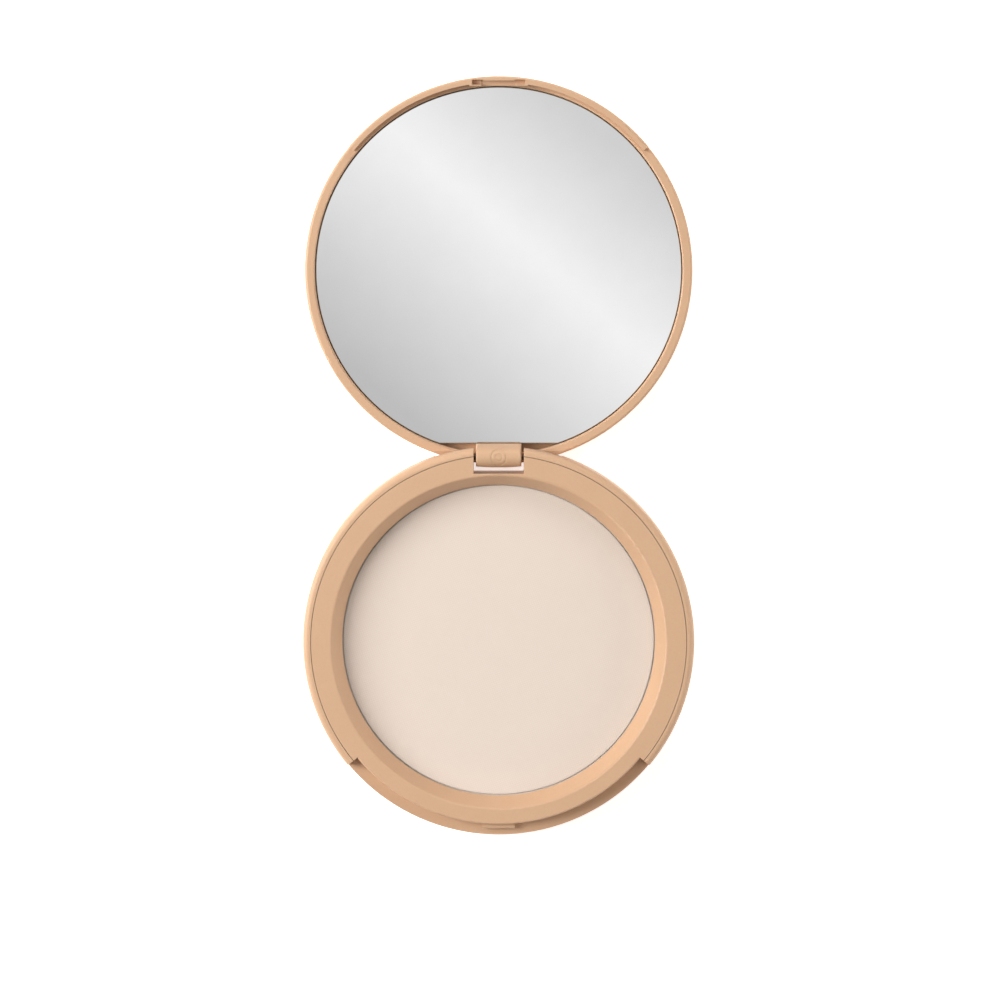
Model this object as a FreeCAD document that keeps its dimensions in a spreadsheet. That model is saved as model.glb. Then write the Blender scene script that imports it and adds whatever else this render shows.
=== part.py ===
import FreeCAD, Part
import math
import os

import Sketcher

# Pressed-powder compact: a round powder base and a round mirror lid on a pin hinge.
#
# Frame: millimetres, +Z up, X along the hinge pin, origin under the centre of the base. The
# powder faces up and the lid lies open at 180 degrees on the +Y side, which is the rest pose.

SIZES = {
    # overrun of a cut past the solid, bite of an added block into it, clearances between pieces
    "over": 1.0,
    "bite": 0.5,
    "fit_gap": 0.1,
    "pan_gap": 0.3,
    "plate_gap": 0.05,
    "cake_gap": 0.02,
    "face_gap": 0.01,
    # base
    "base_radius": 37.5,
    "base_height": 8.6,
    "base_edge_round": 2.4,
    "lip_round": 1.1,
    "lip_inner_radius": 36.05,
    "shell_inner_radius": 35.2,
    "shell_floor": 1.5,
    "ledge_height": 5.8,
    "label_recess_radius": 25.0,
    "label_recess_depth": 0.2,
    # frame round the powder
    "frame_radius": 35.95,
    "frame_wall_radius": 35.1,
    "frame_wall": 1.0,
    "plate_thickness": 0.9,
    "frame_mouth_radius": 32.05,
    "frame_mouth_round": 0.5,
    "frame_lip_radius": 30.05,
    "frame_lip_height": 4.95,
    "funnel_wall": 1.0,
    "frame_front_round": 0.3,
    "tongue_width": 6.2,
    "tongue_front": 36.1,
    "tongue_low": 6.5,
    "tongue_height": 0.8,
    "tongue_lead": 0.25,
    # hinge
    "hinge_reach": 35.5,
    "axis_height": 6.6,
    "slot_width": 9.6,
    "slot_back": 32.4,
    "pin_radius": 0.6,
    "pin_half_length": 9.4,
    "pin_bevel": 0.12,
    "ear_bore_radius": 0.62,
    "lug_bore_radius": 0.65,
    "ear_radius": 1.95,
    "ear_block_half": 12.8,
    "ear_block_reach": 34.2,
    "ear_shoulder_half": 8.0,
    "ear_shoulder_reach": 35.8,
    "ear_crown_half": 3.0,
    "ear_crown_reach": 36.6,
    "ear_gap_half_angle": 24.0,
    "relief_half": 12.2,
    "relief_front": 33.9,
    "lug_width": 8.7,
    "lug_radius": 2.0,
    "lug_reach": 37.5,
    "lug_root_radius": 33.45,
    "lug_end_round": 0.35,
    "lug_heel": 1.2,
    "lug_lean": 20.0,
    "rim_relief_radius": 2.4,
    "gate_outer_radius": 1.6,
    "gate_inner_radius": 0.78,
    "gate_mark_width": 0.3,
    "gate_mark_depth": 0.05,
    # latch arc at the front, half angle of the cut in the base and of the skirt on the lid
    "latch_half_angle": 50.7,
    "skirt_half_angle": 50.3,
    # lid
    "lid_radius": 37.05,
    "lid_thickness": 4.2,
    "lid_floor": 1.2,
    "lid_inner_radius": 35.15,
    "lid_edge_round": 2.0,
    "lid_rim_round": 0.45,
    "lid_mouth_round": 0.3,
    "lid_lift": 0.2,
    "skirt_inner_radius": 35.85,
    "skirt_height": 2.7,
    "boss_face": 35.2,
    "boss_end": 5.6,
    "catch_half_width": 3.3,
    "catch_low": 5.5,
    "catch_wall_face": 36.4,
    "bead_face": 36.2,
    "bead_height": 0.3,
    "pocket_width": 2.1,
    "pocket_inner": 35.42,
    "pocket_outer": 36.36,
    "pocket_depth": 1.2,
    "pocket_offset": 4.02,
    # pieces inside
    "pan_radius": 30.3,
    "pan_height": 2.75,
    "pan_wall": 0.35,
    "pan_corner_round": 0.8,
    "glue_radius": 20.0,
    "glue_thickness": 0.1,
    "powder_radius": 29.9,
    "powder_top": 4.5,
    "powder_edge_round": 0.3,
    "mirror_radius": 35.0,
    "mirror_flat": 33.1,
    "mirror_thickness": 1.8,
    "mirror_bevel": 0.12,
    "tape_radius": 32.0,
    "tape_flat": 30.0,
    "tape_thickness": 0.2,
    "label_radius": 24.8,
}

doc = FreeCAD.newDocument("PowderCompact")
sheet = doc.addObject("Spreadsheet::Sheet", "Sizes")
for row, (alias, value) in enumerate(SIZES.items(), start=1):
    sheet.set(f"A{row}", alias)
    sheet.set(f"B{row}", str(value))
    sheet.setAlias(f"B{row}", alias)
doc.recompute()

ORIGIN = (-1, 1)
CLOSE = 1e-3


def size(alias):
    """The value of a driving dimension."""
    return float(sheet.get(alias))


def value_of(text):
    """The number that an expression such as 'base_radius - 1' stands for."""
    result = sheet.evalExpression(bound(text))
    return float(getattr(result, "Value", result))


def bound(text):
    """The expression with every alias pointing at the sheet."""
    words = text.replace("(", " ( ").replace(")", " ) ").split()
    return " ".join(f"Sizes.{word}" if word in SIZES else word for word in words)


def new_body(name):
    """A body with its own label, which names the piece."""
    body = doc.addObject("PartDesign::Body", name)
    body.Label = name
    return body


def origin_part(body, role):
    """One of the body's own origin planes or axes."""
    for feature in body.Origin.OriginFeatures:
        if feature.Role == role:
            return feature
    raise ValueError(role)


def new_sketch(body, name, role, offset="0"):
    """A sketch on one of the body's origin planes, moved along the plane's normal."""
    sketch = body.newObject("Sketcher::SketchObject", name)
    sketch.AttachmentSupport = [(origin_part(body, role), "")]
    sketch.MapMode = "FlatFace"
    if offset != "0":
        sketch.setExpression("AttachmentOffset.Base.z", bound(offset))
    return sketch


def pin_point(sketch, geometry, end, across, up):
    """Holds a point of the sketch at two expressions measured from the origin."""
    for kind, text in (("DistanceX", across), ("DistanceY", up)):
        number = value_of(text)
        index = sketch.addConstraint(Sketcher.Constraint(kind, *ORIGIN, geometry, end, number))
        sketch.setExpression(f"Constraints[{index}]", bound(text))


def draw_outline(sketch, points):
    """A closed outline of straight runs through points given as pairs of expressions."""
    places = [FreeCAD.Vector(value_of(across), value_of(up), 0) for across, up in points]
    count = len(places)
    first = sketch.GeometryCount
    for index, place in enumerate(places):
        sketch.addGeometry(Part.LineSegment(place, places[(index + 1) % count]), False)
    for index in range(count):
        following = first + (index + 1) % count
        sketch.addConstraint(Sketcher.Constraint("Coincident", first + index, 2, following, 1))
    for index, (across, up) in enumerate(points):
        pin_point(sketch, first + index, 1, across, up)


def draw_circle(sketch, across, up, radius):
    """A full circle."""
    centre = FreeCAD.Vector(value_of(across), value_of(up), 0)
    circle = Part.Circle(centre, FreeCAD.Vector(0, 0, 1), value_of(radius))
    index = sketch.addGeometry(circle, False)
    pin_point(sketch, index, 3, across, up)
    held = sketch.addConstraint(Sketcher.Constraint("Radius", index, value_of(radius)))
    sketch.setExpression(f"Constraints[{held}]", bound(radius))


def draw_sector(sketch, inner, outer, half_angle, facing):
    """A ring sector about the origin, `facing` degrees round, `half_angle` to each side."""
    zero = FreeCAD.Vector(0, 0, 0)
    normal = FreeCAD.Vector(0, 0, 1)
    start = math.radians(facing - size(half_angle))
    stop = math.radians(facing + size(half_angle))
    arcs = []
    for radius in (inner, outer):
        circle = Part.Circle(zero, normal, value_of(radius))
        arcs.append(sketch.addGeometry(Part.ArcOfCircle(circle, start, stop), False))
    for end, angle in ((1, start), (2, stop)):
        near, far = (
            FreeCAD.Vector(value_of(radius) * math.cos(angle), value_of(radius) * math.sin(angle), 0)
            for radius in (inner, outer)
        )
        line = sketch.addGeometry(Part.LineSegment(near, far), False)
        sketch.addConstraint(Sketcher.Constraint("Coincident", line, 1, arcs[0], end))
        sketch.addConstraint(Sketcher.Constraint("Coincident", line, 2, arcs[1], end))
        side = 1 if end == 2 else -1
        held = sketch.addConstraint(Sketcher.Constraint("Angle", line, angle))
        sketch.setExpression(f"Constraints[{held}]", f"{facing} deg + {side} deg * Sizes.{half_angle}")
        sketch.addConstraint(Sketcher.Constraint("PointOnObject", -1, 1, line))
    for arc, radius in zip(arcs, (inner, outer)):
        sketch.addConstraint(Sketcher.Constraint("Coincident", arc, 3, *ORIGIN))
        held = sketch.addConstraint(Sketcher.Constraint("Radius", arc, value_of(radius)))
        sketch.setExpression(f"Constraints[{held}]", bound(radius))


def revolve(body, sketch, name):
    """A full turn of the sketch about the body's Z axis."""
    turn = body.newObject("PartDesign::Revolution", name)
    turn.Profile = sketch
    turn.ReferenceAxis = (origin_part(body, "Z_Axis"), [""])
    turn.Angle = 360
    doc.recompute()
    return turn


def groove(body, sketch, name):
    """A full turn cut about the body's Z axis."""
    cut = body.newObject("PartDesign::Groove", name)
    cut.Profile = sketch
    cut.ReferenceAxis = (origin_part(body, "Z_Axis"), [""])
    cut.Angle = 360
    finish_cut(body, cut)
    return cut


def pad(body, sketch, name, length, both_sides=False, backwards=False):
    """A straight addition."""
    block = body.newObject("PartDesign::Pad", name)
    block.Profile = sketch
    block.setExpression("Length", bound(length))
    block.Midplane = both_sides
    block.Reversed = backwards
    doc.recompute()
    return block


def pocket(body, sketch, name, length, both_sides=False, backwards=False):
    """A straight cut that has to take something away."""
    cut = body.newObject("PartDesign::Pocket", name)
    cut.Profile = sketch
    cut.setExpression("Length", bound(length))
    cut.Midplane = both_sides
    cut.Reversed = backwards
    finish_cut(body, cut)
    return cut


def finish_cut(body, cut):
    """Recomputes a cut and stops if the solid didn't lose volume."""
    before = cut.BaseFeature.Shape.Volume
    doc.recompute()
    after = cut.Shape.Volume
    if not after < before - CLOSE:
        raise RuntimeError(f"{body.Label}: {cut.Name} cuts nothing ({before} to {after})")


def round_edges(body, name, radius, wanted, kind="Fillet"):
    """Rounds or bevels the edges of the body's tip that `wanted` picks."""
    base = body.Tip
    names = [f"Edge{i}" for i, edge in enumerate(base.Shape.Edges, start=1) if wanted(edge)]
    if not names:
        raise RuntimeError(f"{body.Label}: {name} found no edge")
    feature = body.newObject(f"PartDesign::{kind}", name)
    feature.Base = (base, names)
    feature.setExpression("Radius" if kind == "Fillet" else "Size", bound(radius))
    doc.recompute()
    return feature


def ring_at(radius, height):
    """Picks the full circles of one radius at one height about the Z axis."""

    def wanted(edge):
        curve = edge.Curve
        if not isinstance(curve, Part.Circle):
            return False
        return abs(curve.Radius - radius) < CLOSE and abs(curve.Center.z - height) < CLOSE

    return wanted


def make_base_shell():
    """The outer cup, with the hinge knuckles, the slot for the lug and the front ledge."""
    body = new_body("base_shell")
    sketch = new_sketch(body, "shell_section", "XZ_Plane")
    draw_outline(sketch, [
        ("0", "label_recess_depth"),
        ("label_recess_radius", "label_recess_depth"),
        ("label_recess_radius", "0"),
        ("base_radius", "0"),
        ("base_radius", "base_height"),
        ("lip_inner_radius", "base_height"),
        ("lip_inner_radius", "ledge_height"),
        ("shell_inner_radius", "ledge_height"),
        ("shell_inner_radius", "shell_floor"),
        ("0", "shell_floor"),
    ])
    revolve(body, sketch, "shell_turn")
    round_edges(body, "shell_bottom_round", "base_edge_round", ring_at(size("base_radius"), 0))
    round_edges(body, "shell_lip_round", "lip_round", ring_at(size("base_radius"), size("base_height")))

    sketch = new_sketch(body, "ear_block_plan", "XY_Plane", "shell_floor - bite")
    draw_outline(sketch, [
        ("0 - ear_block_half", "frame_lip_radius"),
        ("ear_block_half", "frame_lip_radius"),
        ("ear_block_half", "ear_block_reach"),
        ("ear_shoulder_half", "ear_shoulder_reach"),
        ("ear_crown_half", "ear_crown_reach"),
        ("0 - ear_crown_half", "ear_crown_reach"),
        ("0 - ear_shoulder_half", "ear_shoulder_reach"),
        ("0 - ear_block_half", "ear_block_reach"),
    ])
    pad(body, sketch, "ear_block", "base_height - plate_thickness - plate_gap - shell_floor + bite")

    sketch = new_sketch(body, "funnel_room", "XZ_Plane")
    draw_outline(sketch, [
        ("0", "shell_floor"),
        ("pan_radius + pan_gap", "shell_floor"),
        ("pan_radius + pan_gap", "frame_lip_height - fit_gap"),
        ("frame_lip_radius + funnel_wall + fit_gap", "frame_lip_height - fit_gap"),
        ("frame_mouth_radius + funnel_wall + 2 * fit_gap", "base_height - plate_thickness"),
        ("frame_mouth_radius + funnel_wall + 2 * fit_gap", "base_height + over"),
        ("0", "base_height + over"),
    ])
    groove(body, sketch, "funnel_room_cut")

    sketch = new_sketch(body, "latch_arc", "XY_Plane", "ledge_height")
    draw_sector(sketch, "lip_inner_radius - bite", "base_radius + over", "latch_half_angle", 270)
    pocket(body, sketch, "latch_arc_cut", "base_height", backwards=True)

    sketch = new_sketch(body, "relief_section", "YZ_Plane")
    draw_relief(sketch)
    pocket(body, sketch, "hinge_relief", "2 * relief_half", both_sides=True)

    cut_hinge_slot(body)

    sketch = new_sketch(body, "pin_bore_section", "YZ_Plane")
    draw_circle(sketch, "hinge_reach", "axis_height", "ear_bore_radius")
    pocket(body, sketch, "pin_bore", "base_radius", both_sides=True)
    return body


def draw_relief(sketch):
    """The room under the knuckles that the lid's edge swings through, below the knuckle's round."""
    radius = size("ear_radius")
    reach = size("hinge_reach")
    height = size("axis_height")
    near = size("relief_front")
    drop = math.sqrt(radius**2 - (reach - near) ** 2)
    low, far = -size("over"), reach + 2 * radius
    start = math.atan2(-drop, near - reach)
    centre = FreeCAD.Vector(reach, height, 0)
    circle = Part.Circle(centre, FreeCAD.Vector(0, 0, 1), radius)
    corners = [
        FreeCAD.Vector(reach + radius, height, 0),
        FreeCAD.Vector(far, height, 0),
        FreeCAD.Vector(far, low, 0),
        FreeCAD.Vector(near, low, 0),
        FreeCAD.Vector(near, height - drop, 0),
    ]
    arc = sketch.addGeometry(Part.ArcOfCircle(circle, start, 0), False)
    lines = [
        sketch.addGeometry(Part.LineSegment(corner, corners[index + 1]), False)
        for index, corner in enumerate(corners[:-1])
    ]
    sketch.addConstraint(Sketcher.Constraint("Coincident", arc, 2, lines[0], 1))
    for before, after in zip(lines, lines[1:]):
        sketch.addConstraint(Sketcher.Constraint("Coincident", before, 2, after, 1))
    sketch.addConstraint(Sketcher.Constraint("Coincident", lines[-1], 2, arc, 1))
    sketch.addConstraint(Sketcher.Constraint("Horizontal", lines[0]))
    sketch.addConstraint(Sketcher.Constraint("Vertical", lines[1]))
    sketch.addConstraint(Sketcher.Constraint("Horizontal", lines[2]))
    sketch.addConstraint(Sketcher.Constraint("Vertical", lines[3]))
    pin_point(sketch, arc, 3, "hinge_reach", "axis_height")
    held = sketch.addConstraint(Sketcher.Constraint("Radius", arc, radius))
    sketch.setExpression(f"Constraints[{held}]", bound("ear_radius"))
    pin_point(sketch, lines[2], 2, "relief_front", "0 - over")
    held = sketch.addConstraint(Sketcher.Constraint("DistanceX", *ORIGIN, lines[1], 1, far))
    sketch.setExpression(f"Constraints[{held}]", bound("hinge_reach + 2 * ear_radius"))
    level = Sketcher.Constraint("DistanceY", *ORIGIN, arc, 2, height)
    sketch.setExpression(f"Constraints[{sketch.addConstraint(level)}]", bound("axis_height"))


def cut_hinge_slot(body):
    """The slot that goes right through for the lid's lug."""
    sketch = new_sketch(body, "hinge_slot_plan", "XY_Plane", "0 - over")
    draw_outline(sketch, [
        ("0 - slot_width / 2", "slot_back"),
        ("slot_width / 2", "slot_back"),
        ("slot_width / 2", "base_radius + over"),
        ("0 - slot_width / 2", "base_radius + over"),
    ])
    pocket(body, sketch, "hinge_slot", "base_height + 2 * over", backwards=True)


def make_base_frame():
    """The bezel inside the lip: a flat ring, a sloping wall round the powder and a foot wall."""
    body = new_body("base_frame")
    sketch = new_sketch(body, "frame_section", "XZ_Plane")
    draw_outline(sketch, [
        ("frame_mouth_radius", "base_height"),
        ("frame_radius", "base_height"),
        ("frame_radius", "base_height - plate_thickness"),
        ("frame_wall_radius", "base_height - plate_thickness"),
        ("frame_wall_radius", "shell_floor"),
        ("frame_wall_radius - frame_wall", "shell_floor"),
        ("frame_wall_radius - frame_wall", "base_height - plate_thickness"),
        ("frame_mouth_radius + funnel_wall", "base_height - plate_thickness"),
        ("frame_lip_radius + funnel_wall", "frame_lip_height"),
        ("frame_lip_radius", "frame_lip_height"),
    ])
    revolve(body, sketch, "frame_turn")
    mouth = ring_at(size("frame_mouth_radius"), size("base_height"))
    round_edges(body, "frame_mouth_rounding", "frame_mouth_round", mouth)

    sketch = new_sketch(body, "foot_wall_gap", "XY_Plane", "shell_floor - over")
    inner = "frame_mouth_radius + funnel_wall + 2 * fit_gap"
    draw_sector(sketch, inner, "base_radius", "ear_gap_half_angle", 90)
    depth = "base_height - plate_thickness - shell_floor + over"
    pocket(body, sketch, "foot_wall_gap_cut", depth, backwards=True)

    sketch = new_sketch(body, "front_step", "XY_Plane", "base_height - plate_thickness - bite")
    draw_sector(sketch, "frame_wall_radius", "base_radius", "latch_half_angle", 270)
    pocket(body, sketch, "front_step_cut", "plate_thickness + over", backwards=True)
    front = ring_at(size("frame_wall_radius"), size("base_height"))
    round_edges(body, "front_rounding", "frame_front_round", front)

    cut_hinge_slot(body)

    sketch = new_sketch(body, "tongue_plan", "XY_Plane", "tongue_low")
    draw_outline(sketch, [
        ("0 - tongue_width / 2", "0 - tongue_front"),
        ("tongue_width / 2", "0 - tongue_front"),
        ("tongue_width / 2", "0 - frame_wall_radius + bite"),
        ("0 - tongue_width / 2", "0 - frame_wall_radius + bite"),
    ])
    pad(body, sketch, "tongue", "tongue_height")
    front_y = -size("tongue_front")
    top = value_of("tongue_low + tongue_height")

    def lead_edge(edge):
        box = edge.BoundBox
        return box.YMax < front_y + CLOSE and box.ZMin > top - CLOSE

    round_edges(body, "tongue_lead_in", "tongue_lead", lead_edge, "Chamfer")
    return body


def make_powder_pan():
    """A thin pressed tray."""
    body = new_body("powder_pan")
    sketch = new_sketch(body, "pan_section", "XZ_Plane")
    draw_outline(sketch, [
        ("0", "shell_floor + glue_thickness"),
        ("pan_radius", "shell_floor + glue_thickness"),
        ("pan_radius", "shell_floor + glue_thickness + pan_height"),
        ("pan_radius - pan_wall", "shell_floor + glue_thickness + pan_height"),
        ("pan_radius - pan_wall", "shell_floor + glue_thickness + pan_wall"),
        ("0", "shell_floor + glue_thickness + pan_wall"),
    ])
    revolve(body, sketch, "pan_turn")
    bottom = size("shell_floor") + size("glue_thickness")
    round_edges(body, "pan_corner", "pan_corner_round", ring_at(size("pan_radius"), bottom))
    inner = ring_at(size("pan_radius") - size("pan_wall"), bottom + size("pan_wall"))
    round_edges(body, "pan_inner_corner", "pan_corner_round - pan_wall", inner)
    return body


def make_disc(name, radius, low, high):
    """A flat disc about the Z axis between two heights."""
    body = new_body(name)
    sketch = new_sketch(body, f"{name}_plan", "XY_Plane", low)
    draw_circle(sketch, "0", "0", radius)
    pad(body, sketch, f"{name}_pad", f"{high} - ( {low} )")
    return body


def make_powder_cake():
    """The pressed powder, its foot rounded to lie in the tray's corner."""
    low = "shell_floor + glue_thickness + pan_wall + cake_gap"
    body = make_disc("powder_cake", "powder_radius", low, "powder_top")
    top = ring_at(size("powder_radius"), size("powder_top"))
    round_edges(body, "powder_top_round", "powder_edge_round", top)
    foot = ring_at(size("powder_radius"), value_of(low))
    round_edges(body, "powder_foot_round", "pan_corner_round - pan_wall", foot)
    return body


def make_hinge_pin():
    """The steel pin, with its ends bevelled."""
    body = new_body("hinge_pin")
    sketch = new_sketch(body, "pin_section", "YZ_Plane")
    draw_circle(sketch, "hinge_reach", "axis_height", "pin_radius")
    pad(body, sketch, "pin_length", "2 * pin_half_length", both_sides=True)
    round_edges(body, "pin_ends", "pin_bevel", lambda edge: isinstance(edge.Curve, Part.Circle), "Chamfer")
    return body


def make_lid_shell():
    """The mirror's tray with its rim, the front skirt with its latch, and the hinge lug.

    It is drawn about its own centre, lying on its back, so the hinge is on the -Y side.
    """
    body = new_body("lid_shell")
    sketch = new_sketch(body, "lid_section", "XZ_Plane")
    draw_outline(sketch, [
        ("0", "0"),
        ("lid_radius", "0"),
        ("lid_radius", "lid_thickness"),
        ("lid_inner_radius", "lid_thickness"),
        ("lid_inner_radius", "lid_floor"),
        ("0", "lid_floor"),
    ])
    revolve(body, sketch, "lid_turn")
    back = ring_at(size("lid_radius"), 0)
    round_edges(body, "lid_back_round", "lid_edge_round", back)

    sketch = new_sketch(body, "skirt_plan", "XY_Plane", "lid_thickness - bite")
    draw_sector(sketch, "skirt_inner_radius", "lid_radius", "skirt_half_angle", 90)
    pad(body, sketch, "skirt", "skirt_height + bite")
    round_edges(body, "rim_round", "lid_rim_round", rim_edge("lid_radius"))
    round_edges(body, "mouth_round", "lid_mouth_round", rim_edge("lid_inner_radius"))
    add_latch(body)
    add_lug(body)
    return body


def rim_edge(alias):
    """Picks the arcs of one radius about the Z axis that lie along the rim or the skirt's top."""
    radius = size(alias)
    tops = (size("lid_thickness"), size("lid_thickness") + size("skirt_height"))

    def wanted(edge):
        curve = edge.Curve
        if not isinstance(curve, Part.Circle) or abs(curve.Axis.z) < 1 - CLOSE:
            return False
        return abs(curve.Radius - radius) < CLOSE and any(abs(curve.Center.z - top) < CLOSE for top in tops)

    return wanted


def add_latch(body):
    """The boss at the front, the hollow that takes the tongue behind its bead, and two pockets."""
    top = "lid_thickness + skirt_height"
    sketch = new_sketch(body, "boss_plan", "XY_Plane", "lid_floor")
    draw_outline(sketch, [
        ("0 - boss_end", "boss_face"),
        ("boss_end", "boss_face"),
        ("boss_end", "pocket_outer"),
        ("0 - boss_end", "pocket_outer"),
    ])
    pad(body, sketch, "latch_boss", f"{top} - lid_floor")

    for name, face, height in (
        ("catch_mouth", "bead_face", f"{top} - catch_low"),
        ("catch_hollow", "catch_wall_face", f"{top} - bead_height - catch_low"),
    ):
        sketch = new_sketch(body, f"{name}_plan", "XY_Plane", "catch_low")
        draw_outline(sketch, [
            ("0 - catch_half_width", "boss_face - over"),
            ("catch_half_width", "boss_face - over"),
            ("catch_half_width", face),
            ("0 - catch_half_width", face),
        ])
        pocket(body, sketch, name, height, backwards=True)

    sketch = new_sketch(body, "pockets_plan", "XY_Plane", top)
    for sign in ("-1", "1"):
        middle = f"{sign} * pocket_offset"
        draw_outline(sketch, [
            (f"{middle} - pocket_width / 2", "pocket_inner"),
            (f"{middle} + pocket_width / 2", "pocket_inner"),
            (f"{middle} + pocket_width / 2", "pocket_outer"),
            (f"{middle} - pocket_width / 2", "pocket_outer"),
        ])
    pocket(body, sketch, "latch_pockets", "pocket_depth")


def add_lug(body):
    """The hinge lug: a barrel round the pin, its root on the lid's floor and the relief beside it."""
    axis_up = size("axis_height") - size("lid_lift")
    reach = size("hinge_reach")
    radius = size("lug_radius")
    heel = size("lug_heel")
    lean = math.radians(size("lug_lean"))
    heel_turn = math.pi + math.acos(heel / radius)
    root_in = size("bite") - size("lug_root_radius")
    root_out = -reach - heel
    floor = size("lid_floor") - size("bite")
    touch = FreeCAD.Vector(-reach + radius * math.cos(lean), axis_up + radius * math.sin(lean), 0)
    foot = touch.y - (root_in - touch.x) / math.tan(lean)
    corners = [
        FreeCAD.Vector(root_out, axis_up + radius * math.sin(heel_turn), 0),
        FreeCAD.Vector(root_out, floor, 0),
        FreeCAD.Vector(root_in, floor, 0),
        FreeCAD.Vector(root_in, foot, 0),
        touch,
    ]
    sketch = new_sketch(body, "lug_section", "YZ_Plane")
    circle = Part.Circle(FreeCAD.Vector(-reach, axis_up, 0), FreeCAD.Vector(0, 0, 1), radius)
    arc = sketch.addGeometry(Part.ArcOfCircle(circle, lean, heel_turn), False)
    lines = [
        sketch.addGeometry(Part.LineSegment(corner, corners[index + 1]), False)
        for index, corner in enumerate(corners[:-1])
    ]
    sketch.addConstraint(Sketcher.Constraint("Coincident", arc, 2, lines[0], 1))
    for before, after in zip(lines, lines[1:]):
        sketch.addConstraint(Sketcher.Constraint("Coincident", before, 2, after, 1))
    sketch.addConstraint(Sketcher.Constraint("Tangent", lines[-1], 2, arc, 1))
    sketch.addConstraint(Sketcher.Constraint("Vertical", lines[0]))
    sketch.addConstraint(Sketcher.Constraint("Vertical", lines[2]))
    pin_point(sketch, arc, 3, "0 - hinge_reach", "axis_height - lid_lift")
    held = sketch.addConstraint(Sketcher.Constraint("Radius", arc, radius))
    sketch.setExpression(f"Constraints[{held}]", bound("lug_radius"))
    pin_point(sketch, lines[1], 1, "0 - hinge_reach - lug_heel", "lid_floor - bite")
    pin_point(sketch, lines[2], 1, "bite - lug_root_radius", "lid_floor - bite")
    held = sketch.addConstraint(Sketcher.Constraint("Angle", lines[-1], math.pi / 2 + lean))
    sketch.setExpression(f"Constraints[{held}]", "90 deg + 1 deg * Sizes.lug_lean")
    pad(body, sketch, "lug", "lug_width", both_sides=True)

    half = size("lug_width") / 2

    def lug_corner(edge):
        curve = edge.Curve
        if not isinstance(curve, Part.Circle) or abs(curve.Axis.x) < 1 - CLOSE:
            return False
        return abs(abs(curve.Center.x) - half) < CLOSE and abs(curve.Radius - radius) < CLOSE

    round_edges(body, "lug_corner_round", "lug_end_round", lug_corner)

    sketch = new_sketch(body, "lug_root_plan", "XY_Plane", "lid_floor")
    draw_circle(sketch, "0", "0", "lug_root_radius")
    pocket(body, sketch, "lug_root_cut", "lid_thickness", backwards=True)

    sketch = new_sketch(body, "lug_reach_plan", "XY_Plane", "0 - over")
    draw_sector(sketch, "lug_reach", "lug_reach + 2 * over", "ear_gap_half_angle", 270)
    pocket(body, sketch, "lug_reach_cut", "axis_height + lug_radius + 2 * over", backwards=True)

    sketch = new_sketch(body, "lug_bore_section", "YZ_Plane")
    draw_circle(sketch, "0 - hinge_reach", "axis_height - lid_lift", "lug_bore_radius")
    pocket(body, sketch, "lug_bore", "lug_width + over", both_sides=True)

    sketch = new_sketch(body, "rim_relief_section", "YZ_Plane", "lug_width / 2 + face_gap")
    draw_circle(sketch, "0 - hinge_reach", "axis_height - lid_lift", "rim_relief_radius")
    relief = pocket(body, sketch, "rim_relief", "relief_half - lug_width / 2", backwards=True)
    mirrored = body.newObject("PartDesign::Mirrored", "rim_relief_mirrored")
    mirrored.Originals = [relief]
    mirrored.MirrorPlane = (origin_part(body, "YZ_Plane"), [""])
    body.Tip = mirrored
    doc.recompute()


def make_gate_marked(body):
    """The lid with two faint moulded rings on top of the lug's barrel."""
    core = doc.addObject("Part::Cylinder", "gate_core")
    core.setExpression("Radius", bound("lug_radius - gate_mark_depth"))
    core.setExpression("Height", bound("lug_width"))
    core.Placement.Rotation = FreeCAD.Rotation(FreeCAD.Vector(0, 1, 0), 90)
    core.setExpression("Placement.Base.x", bound("0 - lug_width / 2"))
    cylinders = [core]
    marked = body
    body.Label = "lid_shell_body"
    for name in ("gate_outer", "gate_inner"):
        outside = doc.addObject("Part::Cylinder", f"{name}_outside")
        outside.setExpression("Radius", bound(f"{name}_radius"))
        inside = doc.addObject("Part::Cylinder", f"{name}_inside")
        inside.setExpression("Radius", bound(f"{name}_radius - gate_mark_width"))
        for cylinder in (outside, inside):
            cylinder.setExpression("Height", bound("2 * lug_radius"))
            cylinders.append(cylinder)
        ring = cut_away(f"{name}_ring", outside, inside)
        groove_ring = cut_away(f"{name}_groove", ring, core)
        marked = cut_away(f"{name}_marked", marked, groove_ring)
    for cylinder in cylinders:
        cylinder.setExpression("Placement.Base.y", bound("0 - hinge_reach"))
        cylinder.setExpression("Placement.Base.z", bound("axis_height - lid_lift"))
    marked.Label = "lid_shell"
    doc.recompute()
    return marked


def cut_away(name, base, tool):
    """One object less another."""
    cut = doc.addObject("Part::Cut", name)
    cut.Base = base
    cut.Tool = tool
    return cut


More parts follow.
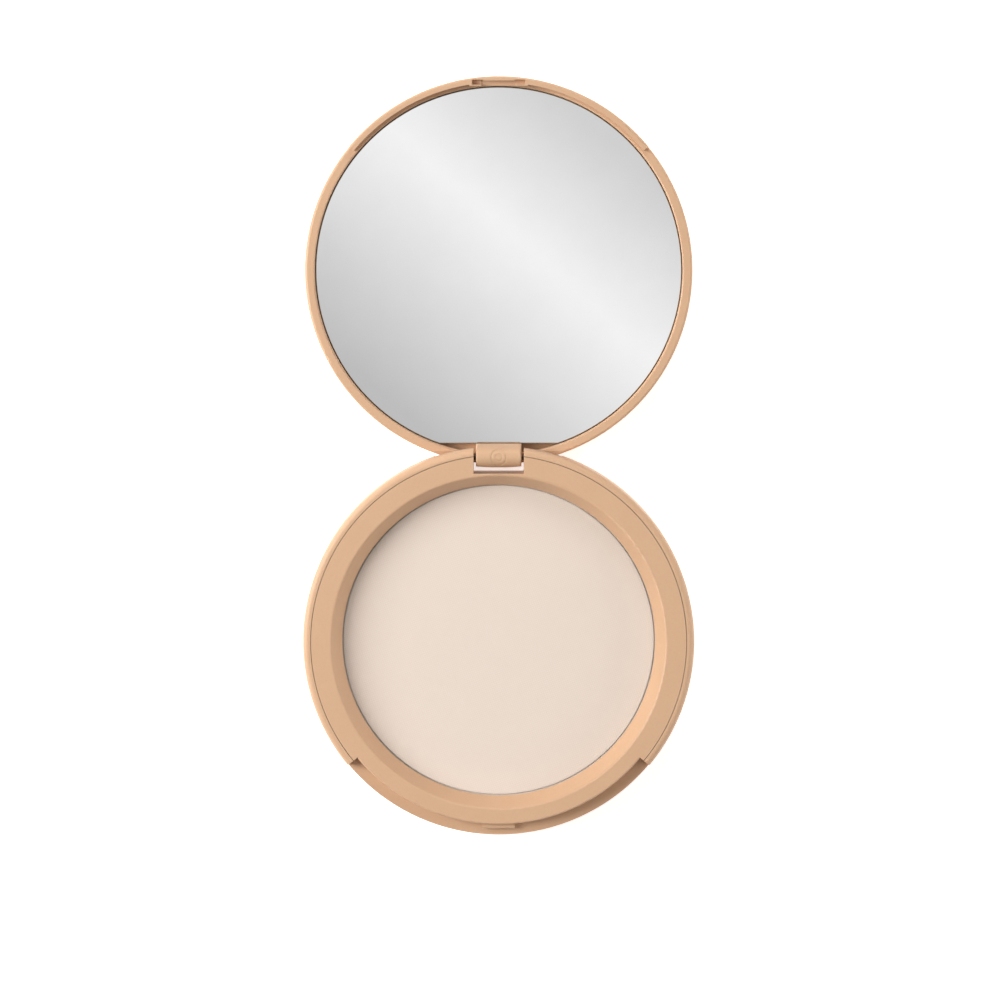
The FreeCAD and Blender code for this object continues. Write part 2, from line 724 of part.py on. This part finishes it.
def make_flat_sided_disc(name, radius, flat, low, high):
    """A disc with one straight side towards the hinge, drawn about the lid's centre."""
    body = new_body(name)
    sketch = new_sketch(body, f"{name}_plan", "XY_Plane", low)
    full, chord = size(radius), size(flat)
    half = math.sqrt(full**2 - chord**2)
    start = math.atan2(-chord, half)
    circle = Part.Circle(FreeCAD.Vector(0, 0, 0), FreeCAD.Vector(0, 0, 1), full)
    arc = sketch.addGeometry(Part.ArcOfCircle(circle, start, math.pi - start), False)
    ends = (FreeCAD.Vector(-half, -chord, 0), FreeCAD.Vector(half, -chord, 0))
    line = sketch.addGeometry(Part.LineSegment(*ends), False)
    sketch.addConstraint(Sketcher.Constraint("Coincident", arc, 2, line, 1))
    sketch.addConstraint(Sketcher.Constraint("Coincident", line, 2, arc, 1))
    sketch.addConstraint(Sketcher.Constraint("Horizontal", line))
    sketch.addConstraint(Sketcher.Constraint("Coincident", arc, 3, *ORIGIN))
    held = sketch.addConstraint(Sketcher.Constraint("Radius", arc, full))
    sketch.setExpression(f"Constraints[{held}]", bound(radius))
    held = sketch.addConstraint(Sketcher.Constraint("DistanceY", *ORIGIN, line, 1, -chord))
    sketch.setExpression(f"Constraints[{held}]", bound(f"0 - {flat}"))
    pad(body, sketch, f"{name}_pad", f"{high} - ( {low} )")
    return body


def make_mirror():
    """The mirror, with the ground bevel of its front edge."""
    low = "lid_floor + tape_thickness"
    high = "lid_floor + tape_thickness + mirror_thickness"
    body = make_flat_sided_disc("mirror_glass", "mirror_radius", "mirror_flat", low, high)
    top = value_of(high)
    round_edges(body, "mirror_edge_bevel", "mirror_bevel",
                lambda edge: edge.BoundBox.ZMin > top - CLOSE, "Chamfer")
    return body


def place_on_lid(piece):
    """Puts a piece drawn about the lid's centre where the open lid lies."""
    piece.setExpression("Placement.Base.y", bound("2 * hinge_reach"))
    piece.setExpression("Placement.Base.z", bound("lid_lift"))


base_pieces = [
    make_base_shell(),
    make_base_frame(),
    make_powder_pan(),
    make_powder_cake(),
    make_disc("pan_adhesive", "glue_radius", "shell_floor", "shell_floor + glue_thickness"),
    make_disc("bottom_label", "label_radius", "0", "label_recess_depth"),
    make_hinge_pin(),
]
lid_pieces = [
    make_gate_marked(make_lid_shell()),
    make_mirror(),
    make_flat_sided_disc("mirror_tape", "tape_radius", "tape_flat", "lid_floor",
                         "lid_floor + tape_thickness"),
]
for lid_piece in lid_pieces:
    place_on_lid(lid_piece)
doc.recompute()

for thing in doc.Objects:
    if {"Invalid", "Error"} & set(thing.State):
        raise RuntimeError(f"{thing.Label} failed: {thing.State}")
os.makedirs("parts", exist_ok=True)
for piece in base_pieces + lid_pieces:
    shape = piece.Shape
    if shape.isNull() or not shape.isValid() or len(shape.Solids) != 1:
        raise RuntimeError(f"{piece.Label} has no single valid solid")
for piece in base_pieces + lid_pieces:
    piece.Shape.exportStep(f"parts/{piece.Label}.step")
    print(f"{piece.Label}: {piece.Shape.Volume:.1f} cubic mm")
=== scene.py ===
import math

import bpy
from mathutils import Matrix, Vector, noise


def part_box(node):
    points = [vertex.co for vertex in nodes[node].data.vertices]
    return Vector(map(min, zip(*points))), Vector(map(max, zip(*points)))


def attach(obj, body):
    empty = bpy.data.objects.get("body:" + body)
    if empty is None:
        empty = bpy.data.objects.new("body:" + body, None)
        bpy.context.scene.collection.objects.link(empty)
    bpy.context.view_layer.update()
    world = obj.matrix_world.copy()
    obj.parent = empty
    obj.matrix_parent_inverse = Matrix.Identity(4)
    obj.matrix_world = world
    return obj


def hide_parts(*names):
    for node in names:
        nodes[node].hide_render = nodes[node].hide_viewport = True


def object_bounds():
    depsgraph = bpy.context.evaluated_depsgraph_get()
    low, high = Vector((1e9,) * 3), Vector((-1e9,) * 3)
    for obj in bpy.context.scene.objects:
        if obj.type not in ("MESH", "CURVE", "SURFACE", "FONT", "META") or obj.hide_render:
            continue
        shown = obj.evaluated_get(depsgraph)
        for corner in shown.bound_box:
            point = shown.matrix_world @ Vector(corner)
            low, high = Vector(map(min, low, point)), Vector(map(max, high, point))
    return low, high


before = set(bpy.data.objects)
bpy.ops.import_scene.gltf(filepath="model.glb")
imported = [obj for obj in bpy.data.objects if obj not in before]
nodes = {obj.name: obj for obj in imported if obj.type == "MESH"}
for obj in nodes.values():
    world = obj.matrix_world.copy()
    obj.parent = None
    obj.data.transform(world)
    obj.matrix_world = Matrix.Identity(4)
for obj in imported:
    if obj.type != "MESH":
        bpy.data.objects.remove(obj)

# The powder compact lying open on a pale table, seen from above and a little from the hinge side.
# Every length is in metres unless its name says mm, and Z is up.

MM = 0.001
cad_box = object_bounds()

# The card over the compact, and the bright band that crosses it, which the mirror shows. The angle is that of
# the line across the band, from +X towards +Y; the offset and reaches are measured along that line.
CARD_HEIGHT = 1.8
CARD_HALF = 0.8
BAND_ANGLE = math.radians(48.81)
BAND_ACROSS = (math.cos(BAND_ANGLE), math.sin(BAND_ANGLE))
BAND_OFFSET_MM = 6.8
BAND_REACH_MM = {"near": 117.0, "far": 77.0}
BAND_GLOW = {"near": 0.566, "middle": 1.0, "far": 0.70}
BAND_BLEND = 0.05

# The pressed powder: its mesh, its crumbled edge, and the print of the pressing cloth.
POWDER_CELLS = 250
EDGE_ROUND_MM = 0.15
EDGE_TURNS_DEG = (22.5, 45, 67.5, 90)
CRUMB_MM = 0.03
CRUMBS_PER_MM = 0.9
CRUMB_SEED = 2.0
DOME_MM = 0.05
BROAD_HOLLOWS = {"depth_mm": 0.03, "across_mm": 11, "seed": 0.3}
FINE_HOLLOWS = {"depth_mm": 0.008, "across_mm": 1.7, "seed": 4.1}
THREAD_MM = 0.44
WEAVE_TURN_DEG = 6
WEAVE_SLANT = 0.5
WANDER_MM = 0.12

# The studio: where the lights point, how strong the even light and the table's glow are, how far the table
# reaches, and how the camera stands: its tilt from straight down, and the width that it frames.
LIT_PLACE = (0.0, 0.03, 0.0)
WORLD_GLOW = 0.2
TABLE_GLOW = 0.65
TABLE_HALF = 3.0
CAMERA_TILT_DEG = 4.7
CAMERA_DISTANCE = 0.9
FRAME_WIDTH = 0.19095
AIM_MM = (0.25, 27.4)
SENSOR_MM = 36.0

# ---------------------------------------------------------------- node helpers


class Surface:
    """A node material: one Principled shader and the textures that feed it, placed in millimetres."""

    def __init__(self, name, **settings):
        """The settings are constant values for the shader's sockets, named with underscores."""
        self.material = bpy.data.materials.new(name)
        self.material.use_nodes = True
        self.tree = self.material.node_tree
        self.shader = self.tree.nodes["Principled BSDF"]
        for setting, value in settings.items():
            socket = setting.replace("_", " ").title().replace("Ior", "IOR")
            self.shader.inputs[socket].default_value = value
        coordinates = self.tree.nodes.new("ShaderNodeTexCoord")
        self.object_normal = coordinates.outputs["Normal"]
        self.place = self.vector("SCALE", coordinates.outputs["Object"], Scale=1 / MM)

    def add(self, kind, settings=None, **inputs):
        """A node with its plain settings and its inputs, which are values or other nodes' outputs."""
        made = self.tree.nodes.new(kind)
        for name, value in (settings or {}).items():
            setattr(made, name, value)
        for name, value in inputs.items():
            self.feed(made.inputs[name.replace("_", " ")], value)
        return made

    def feed(self, socket, value):
        if isinstance(value, bpy.types.NodeSocket):
            self.tree.links.new(value, socket)
        else:
            socket.default_value = value

    def maths(self, operation, first, second=None, clamp=False):
        made = self.tree.nodes.new("ShaderNodeMath")
        made.operation = operation
        made.use_clamp = clamp
        self.feed(made.inputs[0], first)
        if second is not None:
            self.feed(made.inputs[1], second)
        return made.outputs[0]

    def vector(self, operation, first, second=None, **inputs):
        made = self.add("ShaderNodeVectorMath", {"operation": operation}, **inputs)
        self.feed(made.inputs[0], first)
        if second is not None:
            self.feed(made.inputs[1], second)
        return made.outputs["Value"] if operation == "DOT_PRODUCT" else made.outputs["Vector"]

    def noise(self, grain_mm, detail=2.0, place=None):
        """Soft noise whose blobs are about `grain_mm` across."""
        made = self.add("ShaderNodeTexNoise", Vector=place or self.place, Scale=1 / grain_mm, Detail=detail)
        return made.outputs["Fac"]

    def spread(self, factor, low=0.0, high=1.0, start=0.0, end=1.0):
        """The factor between `start` and `end`, spread over `low` to `high`."""
        made = self.tree.nodes.new("ShaderNodeMapRange")
        made.clamp = True
        for socket, value in zip(made.inputs[:5], (factor, start, end, low, high)):
            self.feed(socket, value)
        return made.outputs["Result"]

    def tint(self, factor, first, second):
        """A colour between two, by a factor."""
        made = self.add("ShaderNodeMix", {"data_type": "RGBA"}, Factor=factor)
        self.feed(made.inputs[6], first)
        self.feed(made.inputs[7], second)
        return made.outputs[2]

    def bump(self, height, depth_mm, normal=None, strength=1.0):
        """Relief of a height map that is `depth_mm` deep from 0 to 1."""
        made = self.add("ShaderNodeBump", Height=height, Distance=depth_mm * MM, Strength=strength)
        if normal is not None:
            self.feed(made.inputs["Normal"], normal)
        return made.outputs["Normal"]

    def soft_edges(self, radius_mm):
        """The normal with sharp edges rounded, and a mask that is 1 on those edges."""
        made = self.add("ShaderNodeBevel", {"samples": 6}, Radius=radius_mm * MM)
        plain = self.tree.nodes.new("ShaderNodeNewGeometry")
        facing = self.vector("DOT_PRODUCT", made.outputs["Normal"], plain.outputs["Normal"])
        return made.outputs["Normal"], self.spread(facing, low=1.0, high=0.0, start=0.75, end=0.99)

    def give(self, **inputs):
        """Feeds the shader."""
        for name, value in inputs.items():
            self.feed(self.shader.inputs[name.replace("_", " ")], value)
        return self.material


def rgb(red, green, blue):
    """A linear colour from 8-bit sRGB values."""
    def linear(value):
        part = value / 255
        return part / 12.92 if part <= 0.04045 else ((part + 0.055) / 1.055) ** 2.4
    return (linear(red), linear(green), linear(blue), 1.0)


# ---------------------------------------------------------------- materials


def nude_plastic():
    """Satin moulded plastic in a peach nude, with spark-eroded grain and slightly polished edges, whose
    colour is lightened partly as polish and partly as a painted highlight.
    """
    shade, light = rgb(213, 173, 138), rgb(215, 175, 140)
    fleck, polish_and_highlight = rgb(205, 163, 127), rgb(226, 192, 160)
    made = Surface("nude_plastic", subsurface_weight=0.12, subsurface_scale=0.0009, ior=1.49,
                   specular_ior_level=0.42)
    made.shader.inputs["Subsurface Radius"].default_value = (1.0, 0.5, 0.28)
    edge_normal, edges = made.soft_edges(radius_mm=0.09)
    clouds = made.noise(grain_mm=9.0, detail=3.0)
    flecks = made.noise(grain_mm=0.35)
    body = made.tint(made.spread(clouds, start=0.3, end=0.7), shade, light)
    body = made.tint(made.spread(flecks, high=0.25, start=0.45, end=0.75), body, fleck)
    # Sharp edges are lightened in colour: partly polish, partly a painted highlight along them.
    colour = made.tint(made.maths("MULTIPLY", edges, 0.35), body, polish_and_highlight)
    handled = made.spread(made.noise(grain_mm=4.5, detail=3.0), low=0.4, high=0.47, start=0.3, end=0.7)
    grain = made.noise(grain_mm=0.11)
    rough = made.maths("ADD", handled, made.maths("MULTIPLY", grain, 0.08))
    rough = made.maths("SUBTRACT", rough, made.maths("MULTIPLY", edges, 0.1))
    relief = made.bump(grain, depth_mm=0.007, normal=edge_normal, strength=0.55)
    waves = made.bump(made.noise(grain_mm=3.2, detail=1.0), depth_mm=0.006, normal=relief, strength=0.4)
    return made.give(Base_Color=colour, Roughness=rough, Normal=waves)


def cloth_weave(made, wander):
    """The twill print of the pressing cloth from 0 to 1: two sets of slanting waves that cross."""
    turned = made.add("ShaderNodeMapping", Vector=made.place, Rotation=(0, 0, math.radians(WEAVE_TURN_DEG)))
    parts = made.add("ShaderNodeSeparateXYZ", Vector=turned.outputs["Vector"])
    across = made.maths("ADD", parts.outputs["X"], made.maths("MULTIPLY", wander, WANDER_MM))
    along = made.maths("ADD", parts.outputs["Y"], made.maths("MULTIPLY", wander, WANDER_MM))
    waves = []
    for left, right in ((across, along), (along, made.maths("MULTIPLY", across, -1.0))):
        run = made.maths("ADD", left, made.maths("MULTIPLY", right, WEAVE_SLANT))
        waves.append(made.maths("SINE", made.maths("MULTIPLY", run, 2 * math.pi / THREAD_MM)))
    return made.spread(made.maths("ADD", *waves), start=-2.0, end=2.0)


def pressed_powder():
    """Pressed talc: matte, mottled, with the print of the pressing cloth's twill, its hollows darkened in
    colour as painted shade.
    """
    shade, light = rgb(244, 233, 223), rgb(248, 237, 227)
    mottled, bright, weave_shade = rgb(240, 228, 217), rgb(251, 244, 236), rgb(234, 221, 209)
    made = Surface("pressed_powder", specular_ior_level=0.12, diffuse_roughness=0.85, sheen_weight=0.05,
                   sheen_roughness=0.6)
    weave = cloth_weave(made, made.noise(grain_mm=1.6, detail=1.0))
    grit = made.noise(grain_mm=0.09, detail=3.0)
    mottle = made.noise(grain_mm=2.6, detail=4.0)
    clouds = made.noise(grain_mm=14.0)
    body = made.tint(made.spread(clouds, start=0.3, end=0.7), shade, light)
    body = made.tint(made.spread(mottle, high=0.5, start=0.4, end=0.75), body, mottled)
    body = made.tint(made.spread(grit, high=0.6, start=0.5, end=0.8), body, bright)
    # Painted shade: the twill's hollows are darkened in colour so the print shows under soft light.
    colour = made.tint(made.spread(weave, high=0.4, start=0.2, end=0.9), weave_shade, body)
    relief = made.bump(grit, depth_mm=0.02, strength=0.7)
    relief = made.bump(weave, depth_mm=0.02, normal=relief, strength=0.6)
    return made.give(Base_Color=colour, Roughness=made.spread(mottle, low=0.86, high=0.98), Normal=relief)


def silvered_glass():
    """The mirror: silver on its face, ground glass on its edge."""
    ground, silver, bright_silver = rgb(178, 172, 160), rgb(240, 240, 240), rgb(246, 246, 246)
    ground_roughness = 0.42
    made = Surface("mirror_silver", ior=1.5)
    edge_normal, _ = made.soft_edges(radius_mm=0.04)
    up = made.add("ShaderNodeSeparateXYZ", Vector=made.object_normal).outputs["Z"]
    face = made.spread(up, start=0.93, end=0.99)
    film = made.noise(grain_mm=7.0, detail=4.0)
    colour = made.tint(face, ground, made.tint(film, silver, bright_silver))
    smudge = made.spread(made.noise(grain_mm=5.0, detail=5.0), low=0.012, high=0.035, start=0.4, end=0.8)
    rough = made.spread(face, low=ground_roughness, high=smudge)
    swell = made.noise(grain_mm=16.0, detail=1.0)
    ripple = made.bump(swell, depth_mm=0.004, normal=edge_normal, strength=0.25)
    metallic = made.spread(face, low=0.1, high=1.0)
    return made.give(Base_Color=colour, Roughness=rough, Metallic=metallic, Normal=ripple)


def drawn_steel():
    """The hinge pin: bronzed drawn wire with fine lines along it, its colour kept dark as painted shade for
    the hinge's side gaps.
    """
    dark, light = rgb(70, 52, 40), rgb(98, 76, 60)
    made = Surface("pin_steel", metallic=1.0, anisotropic=0.4)
    stretched = made.add("ShaderNodeMapping", Vector=made.place, Scale=(0.25, 12.0, 12.0))
    lines = made.noise(grain_mm=0.8, detail=3.0, place=stretched.outputs["Vector"])
    # The bronze is kept dark as painted shade, so the pin reads as the shaded gap beside the hinge lug.
    colour = made.tint(lines, dark, light)
    rough = made.spread(lines, low=0.28, high=0.5)
    relief = made.bump(lines, depth_mm=0.004, strength=0.5)
    return made.give(Base_Color=colour, Roughness=rough, Normal=relief)


def spun_aluminium():
    """The pan: pressed sheet with faint rings about its centre, dusted with powder."""
    dark, light, powder = rgb(196, 197, 199), rgb(224, 225, 227), rgb(240, 222, 204)
    made = Surface("pan_metal")
    flat = made.vector("MULTIPLY", made.place, (1.0, 1.0, 0.0))
    from_centre = made.add("ShaderNodeVectorMath", {"operation": "LENGTH"})
    made.feed(from_centre.inputs[0], flat)
    rings = made.add("ShaderNodeTexNoise", {"noise_dimensions": "1D"}, W=from_centre.outputs["Value"],
                     Scale=5.0, Detail=3.0).outputs["Fac"]
    dust = made.spread(made.noise(grain_mm=0.6, detail=3.0), low=0.75, high=1.0, start=0.3, end=0.7)
    colour = made.tint(dust, made.tint(rings, dark, light), powder)
    metallic = made.spread(dust, low=1.0, high=0.0)
    rough = made.spread(dust, low=0.3, high=0.9)
    relief = made.bump(rings, depth_mm=0.006, strength=0.4)
    return made.give(Base_Color=colour, Metallic=metallic, Roughness=rough, Normal=relief)


def foam_tape():
    """Adhesive foam with fine cells."""
    light, dark = rgb(222, 219, 210), rgb(190, 186, 176)
    made = Surface("adhesive", specular_ior_level=0.2)
    cells = made.add("ShaderNodeTexVoronoi", Vector=made.place, Scale=5.0).outputs["Distance"]
    colour = made.tint(cells, light, dark)
    rough = made.spread(cells, low=0.75, high=0.92)
    relief = made.bump(cells, depth_mm=0.05, strength=0.6)
    return made.give(Base_Color=colour, Roughness=rough, Normal=relief)


def label_paper():
    """Uncoated label paper with a fibre grain."""
    shade, light, fibre = rgb(222, 203, 184), rgb(229, 212, 195), rgb(206, 184, 162)
    made = Surface("label_paper", specular_ior_level=0.2)
    stretched = made.add("ShaderNodeMapping", Vector=made.place, Scale=(0.5, 2.6, 1.0))
    fibres = made.noise(grain_mm=0.5, detail=5.0, place=stretched.outputs["Vector"])
    clouds = made.noise(grain_mm=3.0, detail=3.0)
    body = made.tint(clouds, shade, light)
    colour = made.tint(made.spread(fibres, high=0.6, start=0.45, end=0.7), body, fibre)
    rough = made.spread(fibres, low=0.7, high=0.9)
    relief = made.bump(fibres, depth_mm=0.015, strength=0.6)
    return made.give(Base_Color=colour, Roughness=rough, Normal=relief)


def table_white():
    """The pale table top, an opal sheet lit softly from within."""
    made = Surface("table_white", specular_ior_level=0.1, emission_strength=TABLE_GLOW)
    shade = made.noise(grain_mm=60.0, detail=3.0)
    tone = made.tint(shade, rgb(247, 247, 247), rgb(249, 249, 249))
    rough = made.spread(shade, low=0.7, high=0.8)
    return made.give(Base_Color=tone, Emission_Color=tone, Roughness=rough)


def glowing_card():
    """A soft box's diffuser, brightest along a slanting band, which the mirror shows."""
    card = Surface("glowing_card")
    card.tree.nodes.remove(card.shader)
    slant = card.vector("DOT_PRODUCT", card.place, (*BAND_ACROSS, 0.0))
    near = card.spread(slant, BAND_GLOW["near"], BAND_GLOW["middle"], start=-BAND_REACH_MM["near"], end=0.0)
    far = card.spread(slant, BAND_GLOW["middle"], BAND_GLOW["far"], start=0.0, end=BAND_REACH_MM["far"])
    glow = card.maths("SMOOTH_MIN", near, far)
    card.feed(glow.node.inputs[2], BAND_BLEND)
    mottle = card.spread(card.noise(grain_mm=300.0, detail=1.0), low=0.99, high=1.01)
    lit = card.maths("MULTIPLY", glow, mottle)
    emission = card.add("ShaderNodeEmission", Color=(1.0, 1.0, 1.0, 1.0), Strength=lit)
    output = card.tree.nodes["Material Output"]
    card.tree.links.new(emission.outputs["Emission"], output.inputs["Surface"])
    return card.material


# ---------------------------------------------------------------- the powder


def round_grid(count):
    """Points of a square grid of `count` cells a side, bent to fill the unit disc, row by row."""
    points = []
    for row in range(count + 1):
        for column in range(count + 1):
            across = 2 * column / count - 1
            along = 2 * row / count - 1
            if across == 0 and along == 0:
                points.append((0.0, 0.0))
                continue
            if abs(across) > abs(along):
                radius, angle = across, math.pi / 4 * along / across
            else:
                radius, angle = along, math.pi / 2 - math.pi / 4 * across / along
            points.append((radius * math.cos(angle), radius * math.sin(angle)))
    return points


def grid_rim(count):
    """The places in the grid's list of its outer points, going round once."""
    side = count + 1
    bottom = list(range(count))
    right = [row * side + count for row in range(count)]
    top = [count * side + column for column in range(count, 0, -1)]
    left = [row * side for row in range(count, 0, -1)]
    return bottom + right + top + left


def powder_height(x_mm, y_mm, radius_mm):
    """How far the pressed face stands off its plane, in mm: slightly domed, with soft hollows."""
    out = math.hypot(x_mm, y_mm) / radius_mm
    height = DOME_MM * (1 - out**2)
    for hollows in (BROAD_HOLLOWS, FINE_HOLLOWS):
        across = hollows["across_mm"]
        height += hollows["depth_mm"] * noise.noise(Vector((x_mm / across, y_mm / across, hollows["seed"])))
    return height


def crumble(point, turn):
    """How far a point of the powder's edge stands out from a true circle."""
    across, along = (CRUMBS_PER_MM * value / MM for value in point[:2])
    return CRUMB_MM * MM * noise.noise(Vector((across, along, CRUMB_SEED + turn)))


def straight_out(point, reach, height):
    """The point at a height that lies in another one's direction, `reach` from the powder's middle."""
    angle = math.atan2(point[1], point[0])
    return (reach * math.cos(angle), reach * math.sin(angle), height)


def add_ring(vertices, faces, ring, points):
    """Adds a ring of points below another one, and the faces between the two."""
    following = [len(vertices) + place for place in range(len(points))]
    vertices.extend(points)
    for place in range(len(ring)):
        after = (place + 1) % len(ring)
        faces.append((ring[after], ring[place], following[place], following[after]))
    return following


def make_powder():
    """The powder as a dense mesh: a pressed face, a crumbled rim and a plain foot in the pan."""
    low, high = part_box("powder_cake")
    radius = (high.x - low.x) / 2
    edge_round = EDGE_ROUND_MM * MM
    face_radius = radius - edge_round
    vertices = []
    for across, along in round_grid(POWDER_CELLS):
        x, y = across * face_radius, along * face_radius
        vertices.append((x, y, high.z + powder_height(x / MM, y / MM, radius / MM) * MM))
    side = POWDER_CELLS + 1
    corners = [row * side + column for row in range(POWDER_CELLS) for column in range(POWDER_CELLS)]
    faces = [(corner, corner + 1, corner + side + 1, corner + side) for corner in corners]
    ring = grid_rim(POWDER_CELLS)
    for turn in map(math.radians, EDGE_TURNS_DEG):
        reach = face_radius + edge_round * math.sin(turn)
        height = high.z - edge_round * (1 - math.cos(turn))
        points = []
        for index in ring:
            point = vertices[index]
            points.append(straight_out(point, min(reach + crumble(point, turn), radius), height))
        ring = add_ring(vertices, faces, ring, points)
    foot = [straight_out(vertices[index], radius, low.z) for index in ring]
    ring = add_ring(vertices, faces, ring, foot)
    faces.append(tuple(reversed(ring)))
    mesh = bpy.data.meshes.new("pressed_powder")
    mesh.from_pydata(vertices, [], faces)
    mesh.validate()
    mesh.shade_smooth()
    piece = bpy.data.objects.new("pressed_powder", mesh)
    bpy.context.scene.collection.objects.link(piece)
    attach(piece, "base")
    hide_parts("powder_cake")
    return piece


# ---------------------------------------------------------------- studio


def make_sheet(name, half, height, centre=(0.0, 0.0)):
    """A square level sheet that belongs to the studio."""
    corners = [(-half, -half, 0), (half, -half, 0), (half, half, 0), (-half, half, 0)]
    mesh = bpy.data.meshes.new(name)
    mesh.from_pydata(corners, [], [(0, 1, 2, 3)])
    sheet = bpy.data.objects.new(name, mesh)
    sheet.location = (*centre, height)
    bpy.context.scene.collection.objects.link(sheet)
    return sheet


def seen_in_mirror(eye, across, along, height):
    """Where the camera's line of sight to a point of the mirror lands at a height once reflected."""
    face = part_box("mirror_glass")[1].z
    stretch = (height - face + eye.z - face) / (eye.z - face)
    return eye.x + (across - eye.x) * stretch, eye.y + (along - eye.y) * stretch


def make_softbox(name, place, target, width, height, power):
    """A rectangular area light turned to its target, its height running up and down."""
    light = bpy.data.lights.new(name, "AREA")
    light.shape = "RECTANGLE"
    light.size = width
    light.size_y = height
    light.energy = power
    lamp = bpy.data.objects.new(name, light)
    lamp.location = place
    lamp.rotation_euler = (Vector(target) - Vector(place)).to_track_quat("-Z", "Y").to_euler()
    bpy.context.scene.collection.objects.link(lamp)
    return lamp


def make_world():
    """Even white light from all round."""
    world = bpy.data.worlds.new("studio")
    world.use_nodes = True
    bpy.context.scene.world = world
    background = world.node_tree.nodes["Background"]
    background.inputs["Strength"].default_value = WORLD_GLOW
    background.inputs["Color"].default_value = (1.0, 1.0, 1.0, 1.0)


def make_camera():
    """A long lens over the middle of the two discs, tipped a little towards the lid; returns its place."""
    tilt = math.radians(CAMERA_TILT_DEG)
    target = Vector((AIM_MM[0] * MM, AIM_MM[1] * MM, cad_box[1].z))
    data = bpy.data.cameras.new("camera")
    data.sensor_width = SENSOR_MM
    data.lens = data.sensor_width * CAMERA_DISTANCE / FRAME_WIDTH
    data.clip_start = 0.01
    camera = bpy.data.objects.new("camera", data)
    back = Vector((0.0, math.sin(tilt), math.cos(tilt)))
    up = Vector((0.0, math.cos(tilt), -math.sin(tilt)))
    right = up.cross(back)
    turned = Matrix((right, up, back)).transposed().to_4x4()
    camera.matrix_world = Matrix.Translation(target + CAMERA_DISTANCE * back) @ turned
    bpy.context.scene.collection.objects.link(camera)
    bpy.context.scene.camera = camera
    return camera.matrix_world.translation


# ---------------------------------------------------------------- build

eye = make_camera()
make_world()
make_softbox("key", (-0.80, 0.20, 0.574), LIT_PLACE, width=0.45, height=0.7, power=11.0)
make_softbox("fill", (0.966, 0.03, 0.26), LIT_PLACE, width=0.6, height=0.4, power=3.6)
make_softbox("hinge_side", (0.1, 1.05, 0.62), LIT_PLACE, width=0.5, height=0.5, power=3.3)

mirror_low, mirror_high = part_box("mirror_glass")
mirror_middle = Vector((0.0, mirror_high.y - (mirror_high.x - mirror_low.x) / 2))
band_middle = mirror_middle + Vector(BAND_ACROSS) * BAND_OFFSET_MM * MM
card = make_sheet("card", CARD_HALF, CARD_HEIGHT, seen_in_mirror(eye, *band_middle, CARD_HEIGHT))
card.data.materials.append(glowing_card())

plastic = nude_plastic()
tape = foam_tape()
finishes = {
    "base_shell": plastic,
    "base_frame": plastic,
    "lid_shell": plastic,
    "mirror_glass": silvered_glass(),
    "hinge_pin": drawn_steel(),
    "powder_pan": spun_aluminium(),
    "pan_adhesive": tape,
    "mirror_tape": tape,
    "bottom_label": label_paper(),
}
for node, finish in finishes.items():
    for slot in nodes[node].material_slots:
        slot.material = finish

make_powder().data.materials.append(pressed_powder())
make_sheet("table", TABLE_HALF, cad_box[0].z).data.materials.append(table_white())

view = bpy.context.scene.view_settings
view.view_transform = "Standard"
view.look = "None"

bpy.context.view_layer.update()
